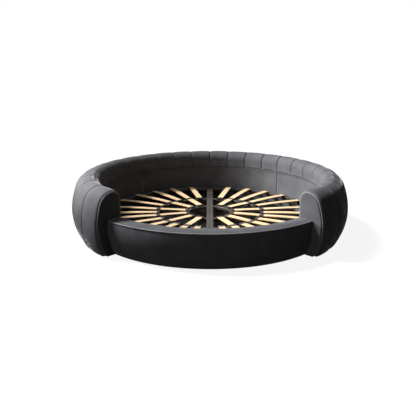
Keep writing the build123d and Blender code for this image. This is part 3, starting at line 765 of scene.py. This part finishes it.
def makeRail():
    mesh = bmesh.new()
    drawRail(mesh)
    spinLoop(mesh, railStart, 2 * railHalf, rail["steps"])
    dressRail(mesh)
    trimRailEnds(mesh)
    piece = newPiece("frontRailCover", mesh, upholstery)
    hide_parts("front_rail_cover")
    mesh = bmesh.new()
    place = Matrix.Translation((rail["topRadius"], 0, rail["pipingHeight"]))
    bmesh.ops.create_circle(
        mesh, segments=piping["sides"], radius=piping["radius"],
        matrix=place @ Matrix.Rotation(pi / 2, 4, "X"),
    )
    spinLoop(mesh, railStart, 2 * railHalf, rail["steps"])
    trimRailEnds(mesh)
    piece = newPiece("frontRailPiping", mesh, cordClothPaintedHighlight)
    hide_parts("front_rail_piping")


makeRail()
print("front rail made")

# Slat frame: rings and beams of rectangular tube with rounded corners
steel = {
    "tube": 0.030,
    "tall": 0.040,
    "low": 0.030,
    "corner": 0.0035,
    "outer": 0.987,
    "mid": 0.493,
    "inner": 0.209,
    "beamHalf": 1.00155,
    "beamSteps": 20,
    "ringSteps": 96,
}
tubeHalf = steel["tube"] / 2
rings = (("outer", "tall"), ("mid", "low"), ("inner", "low"))  # each with its tube's height
sideSigns = (("right", 1), ("left", -1))


def tubeOutline(mesh, across, height):  # a rounded rectangle in the XZ plane
    centre = Vector((across, 0, bed["frameTop"] - height / 2))
    place = Matrix.Translation(centre) @ Matrix.Rotation(pi / 2, 4, "X")
    bmesh.ops.create_grid(mesh, x_segments=1, y_segments=1, size=0.5, matrix=place)
    for vert in mesh.verts:
        offset = vert.co - centre
        vert.co = centre + Vector((offset.x * steel["tube"], 0, offset.z * height))
    roundOff(mesh, mesh.verts[:], steel["corner"], 3, "VERTICES")
    bmesh.ops.delete(mesh, geom=mesh.faces[:], context="FACES_ONLY")


def makeRing(name, radius, height):
    for side, sign in sideSigns:
        mesh = bmesh.new()
        tubeOutline(mesh, radius, height)
        spinLoop(mesh, -90, 180, steel["ringSteps"])
        cutAcross(mesh, (steel["tube"], 0, 0), (1, 0, 0), clearInner=True)
        capEnds(mesh)
        bmesh.ops.scale(mesh, verts=mesh.verts[:], vec=(sign, 1, 1))
        bmesh.ops.recalc_face_normals(mesh, faces=mesh.faces[:])
        pieceName = side + name.capitalize() + "Ring"
        piece = newPiece(pieceName, mesh, taupeSteel)
        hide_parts(side + "_" + name + "_ring")


def makeBeam(side, sign):
    mesh = bmesh.new()
    tubeOutline(mesh, sign * tubeHalf, steel["tall"])
    bmesh.ops.translate(mesh, verts=mesh.verts[:], vec=(0, -steel["beamHalf"], 0))
    step = 2 * steel["beamHalf"] / steel["beamSteps"]
    bmesh.ops.spin(
        mesh, geom=mesh.verts[:] + mesh.edges[:], axis=(0, 0, 1), angle=0,
        dvec=(0, step, 0), steps=steel["beamSteps"],
    )
    capEnds(mesh)
    piece = newPiece(side + "Beam", mesh, taupeSteel)
    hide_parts(side + "_beam")


for name, height in rings:
    makeRing(name, steel[name], steel[height])
for side, sign in sideSigns:
    makeBeam(side, sign)
print("slat frame made")

# Weld beads where the half rings meet the beams, on top and down the sides
weld = {
    "radius": 0.0022,
    "scallops": 9,
    "overlap": 0.62,  # half a scallop's length, as a share of their spacing
    "topInset": 0.004,
    "lowInset": 0.003,
}


def weldBead(mesh, start, end):
    run = end - start
    way = run.normalized()
    stretch = run.length / weld["scallops"] * weld["overlap"]
    for bead in range(weld["scallops"]):
        place = start + run * ((bead + 0.5) / weld["scallops"])
        ball = bmesh.ops.create_icosphere(
            mesh, subdivisions=1, radius=1.0, matrix=Matrix.Translation(place)
        )["verts"]
        for vert in ball:
            offset = vert.co - place
            along = offset.dot(way)
            vert.co = place + (offset - way * along) * weld["radius"] + way * along * stretch


def makeWelds():
    mesh = bmesh.new()
    x = steel["tube"]
    top = bed["frameTop"]
    high = top - weld["topInset"]
    for name, height in rings:
        low = top - steel[height] + weld["lowInset"]
        near = sqrt((steel[name] - tubeHalf) ** 2 - x * x)
        far = sqrt((steel[name] + tubeHalf) ** 2 - x * x)
        for sideX in (-x, x):
            for yaw in (-1, 1):
                sides = (near,) if name == "outer" else (far, near)
                for y in sides:
                    weldBead(mesh, Vector((sideX, yaw * y, high)), Vector((sideX, yaw * y, low)))
                end = yaw * (far - weld["topInset"])
                weldBead(mesh, Vector((sideX, yaw * near, top)), Vector((sideX, end, top)))
    newPiece("frameWelds", mesh, taupeSteel)


makeWelds()

# Sprung slats, bowed between their ends, one mesh for each set
slats = {
    "turns": (12.4, 25.4, 38.2, 51.5, 66.1, 81.8, 94.8, 106.2, 119.2, 131.6, 144.4, 156.4, 168.4),
    "width": 0.055,
    "thickness": 0.008,
    "floor": 0.0023,
    "edge": 0.0016,
    "outerEnd": 0.987,
    "pairedStart": 0.4953,
    "singleStart": 0.4823,
    "innerStart": 0.2153,
    "innerEnd": 0.4907,
    "outerRise": 0.004,
    "innerRise": 0.002,
    "cuts": 12,
}
numbers = list(range(1, len(slats["turns"]) + 1))
singleSlats, pairedSlats = numbers[0::2], numbers[1::2]  # pairs meet on the mid ring


def addOnRay(mesh, part, angle):  # turns a part to its angle and adds it to the set
    turnMesh(part, angle)
    data = bpy.data.meshes.new("part")
    part.to_mesh(data)
    part.free()
    mesh.from_mesh(data)
    bpy.data.meshes.remove(data)


def slatAngle(number, sign):
    return bed["backAngle"] - sign * slats["turns"][number - 1]


def addBox(mesh, low, high, bevel=0.0, segments=2):
    low, high = Vector(low), Vector(high)
    place = Matrix.Translation((low + high) / 2) @ Matrix.Diagonal((*(high - low), 1))
    box = bmesh.ops.create_cube(mesh, size=1, matrix=place)["verts"]
    if bevel:
        edges = list({edge for vert in box for edge in vert.link_edges})
        roundOff(mesh, edges, bevel, segments)


def addSlat(mesh, start, end, rise, angle, number):
    half = slats["width"] / 2
    low = bed["frameTop"] + slats["floor"]
    part = bmesh.new()
    addBox(part, (start, -half, low), (end, half, low + slats["thickness"]), slats["edge"])
    for cut in range(1, slats["cuts"]):
        place = start + (end - start) * cut / slats["cuts"]
        cutAcross(part, (place, 0, 0), (1, 0, 0))
    for vert in part.verts:
        across = (vert.co.x - start) / (end - start) * 2 - 1
        vert.co.z += rise * (1 - across * across)
    grain = part.loops.layers.uv.new("grain")
    shift = 0.37 * number * (1 if angle < 90 else 1.6)  # gives each slat a grain of its own
    for face in part.faces:
        for loop in face.loops:
            loop[grain].uv = (loop.vert.co.x, loop.vert.co.y + shift)
    addOnRay(mesh, part, angle)


def makeSlats(side, sign):
    mesh = bmesh.new()
    for number in singleSlats + pairedSlats:
        start = slats["singleStart" if number in singleSlats else "pairedStart"]
        angle = slatAngle(number, sign)
        addSlat(mesh, start, slats["outerEnd"], slats["outerRise"], angle, number)
    piece = newPiece(side + "OuterSlats", mesh, slatWood, smooth=False)
    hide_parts(side + "_outer_slats")
    mesh = bmesh.new()
    for number in pairedSlats:
        start, end = slats["innerStart"], slats["innerEnd"]
        addSlat(mesh, start, end, slats["innerRise"], slatAngle(number, sign), number + 20)
    piece = newPiece(side + "InnerSlats", mesh, slatWood, smooth=False)
    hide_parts(side + "_inner_slats")


for side, sign in sideSigns:
    makeSlats(side, sign)
print("slats made")

# Slat screws: a domed head with a cross recess at each slat's outer end
screw = {
    "head": 0.005,
    "rise": 0.0016,
    "fromEnd": 0.0075,
    "seat": 0.0002,
    "slot": 0.0028,
    "slotHalf": 0.0008,
    "slotDepth": 0.0009,
}


def addScrew(mesh, x, z, angle):
    part = bmesh.new()
    bmesh.ops.create_uvsphere(part, u_segments=16, v_segments=8, radius=1.0)
    under = [vert for vert in part.verts if vert.co.z < -0.01]
    bmesh.ops.delete(part, geom=under, context="VERTS")
    bmesh.ops.scale(part, verts=part.verts[:], vec=(screw["head"], screw["head"], screw["rise"]))
    for vert in part.verts:
        fromSlot = min(abs(vert.co.x), abs(vert.co.y))
        if vert.co.xy.length < screw["slot"] and fromSlot < screw["slotHalf"]:
            vert.co.z -= screw["slotDepth"]
    capEnds(part)
    bmesh.ops.translate(part, verts=part.verts[:], vec=(x, 0, z))
    addOnRay(mesh, part, angle)


def makeScrews():
    mesh = bmesh.new()
    x = slats["outerEnd"] - screw["fromEnd"]
    z = bed["frameTop"] + slats["floor"] + slats["thickness"] + screw["seat"]
    for _, sign in sideSigns:
        for number in singleSlats + pairedSlats:
            addScrew(mesh, x, z, slatAngle(number, sign))
    newPiece("slatScrews", mesh, screwSteel)


makeScrews()

# Slat holders: moulded pockets with rounded edges, a ribbed crown and hooks
holder = {
    "wall": 0.0025,
    "play": 0.0003,
    "roof": 0.002,
    "pocket": 0.017,
    "pocketPlay": 0.0014,
    "web": 0.004,
    "nose": 0.009,
    "hookWidth": 0.024,
    "hookDepth": 0.012,
    "hookThickness": 0.003,
    "hookPlay": 0.0006,
    "hookEdge": 0.0008,
    "edge": 0.0012,
    "ribReach": 0.0045,  # three small ribs across the crown
    "ribHalf": 0.0012,
    "ribSpacing": 0.018,
    "ribSink": 0.0004,
    "ribRise": 0.0005,
    "ribEdge": 0.0003,
    "midBack": 0.013,  # the single slats' holders stand inwards of the mid ring's middle
    "innerOut": 0.004,  # and the inner ones outwards of the inner ring's
}


def pushPocket(part, face, low, high):  # sinks a pocket for a slat's end into a block's face
    sign = 1 if face.normal.x > 0 else -1
    bmesh.ops.inset_region(part, faces=[face], thickness=holder["wall"], depth=0)
    for vert in face.verts:
        isLow = vert.co.z < (low + high) / 2
        vert.co.z = low + slats["floor"] if isLow else high - holder["roof"]
    pushed = bmesh.ops.extrude_discrete_faces(part, faces=[face])["faces"]
    moved = list({vert for item in pushed for vert in item.verts})
    bmesh.ops.translate(part, verts=moved, vec=(-sign * holder["pocket"], 0, 0))


def roundHolder(part, half, high):
    top = [edge for edge in part.edges if all(abs(vert.co.z - high) < 1e-6 for vert in edge.verts)]
    corners = [
        edge for edge in part.edges
        if all(abs(abs(vert.co.y) - half) < 1e-6 for vert in edge.verts)
        and abs(edge.verts[0].co.z - edge.verts[1].co.z) > 0.005
    ]
    roundOff(part, top + corners, holder["edge"], 2)


def addHook(part, face, side, low):  # hangs down beside the ring's face
    half = holder["hookWidth"] / 2
    sag = face - sqrt(face**2 - half**2)
    near = face + side * holder["hookPlay"] - (sag if side < 0 else 0)
    far = near + side * holder["hookThickness"]
    addBox(
        part,
        (min(near, far), -half, low - holder["hookDepth"]),
        (max(near, far), half, low + slats["floor"] / 2),
        holder["hookEdge"],
    )


def addHolder(mesh, web, pocketSides, hooks, angle):
    part = bmesh.new()
    half = slats["width"] / 2 + holder["play"] + holder["wall"]
    low = bed["frameTop"]
    inside = slats["thickness"] + holder["pocketPlay"]
    high = low + slats["floor"] + inside + holder["roof"]
    reach = holder["web"] / 2 + holder["pocket"]
    start = web - (reach if -1 in pocketSides else holder["nose"])
    end = web + (reach if 1 in pocketSides else holder["nose"])
    addBox(part, (start, -half, low), (end, half, high))
    faces = [
        face for face in part.faces
        if abs(face.normal.x) > 0.9 and (1 if face.normal.x > 0 else -1) in pocketSides
    ]
    for face in faces:
        pushPocket(part, face, low, high)
    roundHolder(part, half, high)
    for face, side in hooks:
        addHook(part, face, side, low)
    for rib in (-1, 0, 1):
        middle = rib * holder["ribSpacing"]
        addBox(
            part,
            (web - holder["ribReach"], middle - holder["ribHalf"], high - holder["ribSink"]),
            (web + holder["ribReach"], middle + holder["ribHalf"], high + holder["ribRise"]),
            holder["ribEdge"], 1,
        )
    addOnRay(mesh, part, angle)


def makeHolders(name, node, web, pocketSides, hooks, numbers):
    mesh = bmesh.new()
    for _, sign in sideSigns:
        for number in numbers:
            addHolder(mesh, web, pocketSides, hooks, slatAngle(number, sign))
    piece = newPiece(name, mesh, holderPlastic, smooth=False)
    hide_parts(node)


midIn, midOut = (steel["mid"] - tubeHalf, -1), (steel["mid"] + tubeHalf, 1)
innerOut = (steel["inner"] + tubeHalf, 1)
makeHolders(
    "doubleSlatHolders", "double_slat_holders", steel["mid"], (-1, 1), (midIn, midOut), pairedSlats
)
makeHolders(
    "midSlatHolders", "mid_slat_holders", steel["mid"] - holder["midBack"], (1,), (midIn,),
    singleSlats,
)
makeHolders(
    "innerSlatHolders", "inner_slat_holders", steel["inner"] + holder["innerOut"], (1,),
    (innerOut,), pairedSlats,
)
print("slat holders made")

# Dust cloth: a black sheet stretched under the well, cut out round the feet; its near-black colour
# paints the shade in the well under the slats
dust = {
    "radius": 1.0362,
    "low": 0.005,
    "thickness": 0.0008,
    "steps": 110,
    "hole": 0.030,
    "holeCut": 0.004,  # points that lie less than this inside a hole are drawn onto its edge
    "legs": ((0, 0), (0, 0.493), (0, -0.493), (-0.493, 0), (0.493, 0)),
    "drop": 0.0002,
    "wave": 0.0022,
    "waves": 5,  # to a metre
    "waveBias": 0.4,  # keeps them mostly downwards
    "waveFade": 0.2,
}


def cutLegHoles(mesh):
    gone = []
    for leg in map(Vector, dust["legs"]):
        for vert in mesh.verts:
            away = vert.co.xy - leg
            if away.length < dust["hole"] - dust["holeCut"]:
                gone.append(vert)
            elif away.length < dust["hole"]:
                vert.co.xy = leg + away.normalized() * dust["hole"]
    bmesh.ops.delete(mesh, geom=list(set(gone)), context="VERTS")


def makeDustCloth():
    mesh = bmesh.new()
    radius, steps = dust["radius"], dust["steps"]
    bmesh.ops.create_grid(mesh, x_segments=steps, y_segments=steps, size=radius)
    for vert in mesh.verts:  # the square grid is drawn in to a disc
        x, y = vert.co.x / radius, vert.co.y / radius
        vert.co.xy = (x * sqrt(1 - y * y / 2) * radius, y * sqrt(1 - x * x / 2) * radius)
    cutLegHoles(mesh)
    for vert in mesh.verts:
        edge = smoothStep((radius - vert.co.xy.length) / dust["waveFade"])
        wave = noise.noise(Vector((vert.co.x * dust["waves"], vert.co.y * dust["waves"], 0.7)))
        wave = (wave - dust["waveBias"]) * dust["wave"]
        vert.co.z = dust["low"] - dust["drop"] + wave * edge
    bmesh.ops.recalc_face_normals(mesh, faces=mesh.faces[:])
    bmesh.ops.solidify(mesh, geom=mesh.faces[:], thickness=dust["thickness"])
    bmesh.ops.recalc_face_normals(mesh, faces=mesh.faces[:])
    piece = newPiece("dustClothPaintedShade", mesh, dustClothPaintedShade)
    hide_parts("dust_cover")


makeDustCloth()
print("dust cloth made")

# Materials of the CAD nodes that are kept as they are
finishes = {
    "base_board": boardWood, "inner_board": boardWood, "top_batten": boardWood,
    "top_board": boardWood, "ribs": boardWood, "frame_cleats": taupeSteel,
    "support_legs": taupeSteel, "leg_inserts": footPlastic, "levelling_foot": footPlastic,
    "floor_glides": footPlastic, "beam_bolts": taupeSteel, "section_bolts": zincSteel,
    "rail_bolts": zincSteel, "slat_end_pads": felt,
}
for nodeName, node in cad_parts.items():
    for ending, material in finishes.items():
        if nodeName.endswith(ending):
            node.data.materials.clear()
            node.data.materials.append(material)
print("kept nodes painted")

# Floor, light and camera
studio = {
    "floorRadius": 40,
    "floor": 0.12,  # what the floor gives back of the light, the rest is its glow
    "floorBounce": 0.02,  # and what it gives back to the object
    "floorGlow": 0.90,
    "glowStart": 1.00,  # the glow begins under the base boards, so the well stays dark
    "glowFull": 1.03,
    "fill": 0.018,  # the white background's light on the object
    "spotSize": 0.25,
}
suns = {  # strength, softness in degrees, and where each shines from
    "keyLight": (6.0, 14, (-0.60, 0.19, 0.78)),
    "frontLight": (0.32, 30, (-0.7, -1.0, 0.3)),
}
spots = {  # watts, cone in degrees, its soft share, where each stands and what it is aimed at
    "wallLight": (1250, 29, 0.5, (-3.5, -0.8, 1.7), (0.81, 0.04, 0.50)),
    "slatLight": (165, 34, 0.2, (-0.25, 0.0, 3.5), (-0.03, 0.0, 0.15)),
}


def seenByCamera(tree):  # one for rays that reach the camera, directly or mirrored
    path = addNode(tree, "ShaderNodeLightPath")
    seen = mathNode(tree, "MAXIMUM", path.outputs["Is Camera Ray"], path.outputs["Is Glossy Ray"])
    return mathNode(tree, "MAXIMUM", seen, path.outputs["Is Transmission Ray"])


def makeFloor():
    mesh = bmesh.new()
    bmesh.ops.create_circle(mesh, cap_ends=True, segments=96, radius=studio["floorRadius"])
    data = bpy.data.meshes.new("studioFloor")
    mesh.to_mesh(data)
    mesh.free()
    floor = bpy.data.objects.new("studioFloor", data)
    bpy.context.scene.collection.objects.link(floor)
    material, tree, shader = newMaterial("studioFloor")
    shade = mapRange(tree, seenByCamera(tree), 0, 1, studio["floorBounce"], studio["floor"])
    tree.links.new(shade, shader.inputs["Base Color"])
    shader.inputs["Roughness"].default_value = 0.9
    shader.inputs["Specular IOR Level"].default_value = 0.0
    shader.inputs["Emission Color"].default_value = (1, 1, 0.995, 1)
    away = addNode(tree, "ShaderNodeVectorMath", operation="LENGTH")
    tree.links.new(objectPlace(tree), away.inputs[0])
    start, full = studio["glowStart"], studio["glowFull"]
    reach = mapRange(tree, away.outputs["Value"], start, full, 0, studio["floorGlow"])
    glow = mathNode(tree, "MULTIPLY", seenByCamera(tree), reach)
    tree.links.new(glow, shader.inputs["Emission Strength"])
    data.materials.append(material)


def addLamp(name, kind, power, away, place=(0, 0, 0)):  # away points from the object to it
    lamp = bpy.data.lights.new(name, kind)
    lamp.energy = power
    lampObject = bpy.data.objects.new(name, lamp)
    lampObject.location = place
    lampObject.rotation_euler = away.to_track_quat("Z", "Y").to_euler()
    bpy.context.scene.collection.objects.link(lampObject)
    return lamp


makeFloor()
world = bpy.data.worlds.new("studioWorld")
bpy.context.scene.world = world
world.use_nodes = True
tree = world.node_tree
background = tree.nodes["Background"]
background.inputs["Color"].default_value = (1, 1, 1, 1)
strength = mapRange(tree, seenByCamera(tree), 0, 1, studio["fill"], 1)
tree.links.new(strength, background.inputs["Strength"])
for lampName, (power, softness, source) in suns.items():
    addLamp(lampName, "SUN", power, Vector(source)).angle = radians(softness)
for lampName, (power, cone, soft, place, aim) in spots.items():
    lamp = addLamp(lampName, "SPOT", power, Vector(place) - Vector(aim), place)
    lamp.spot_size, lamp.spot_blend = radians(cone), soft
    lamp.shadow_soft_size = studio["spotSize"]

view = {  # fitted to the edges of the bed in the photograph
    "place": (0.00219, -4.66555, 1.49065),
    "pitch": 15.73067,
    "yaw": 0.24805,
    "focal": 516.07583,
    "imageSize": 416,
}
camera = bpy.data.cameras.new("photoCamera")
camera.sensor_width = 36
camera.lens = view["focal"] * camera.sensor_width / view["imageSize"]
cameraObject = bpy.data.objects.new("photoCamera", camera)
cameraObject.location = view["place"]
cameraObject.rotation_euler = (radians(90 - view["pitch"]), 0, radians(view["yaw"]))
bpy.context.scene.collection.objects.link(cameraObject)
bpy.context.scene.camera = cameraObject
bpy.context.scene.view_settings.view_transform = "Standard"
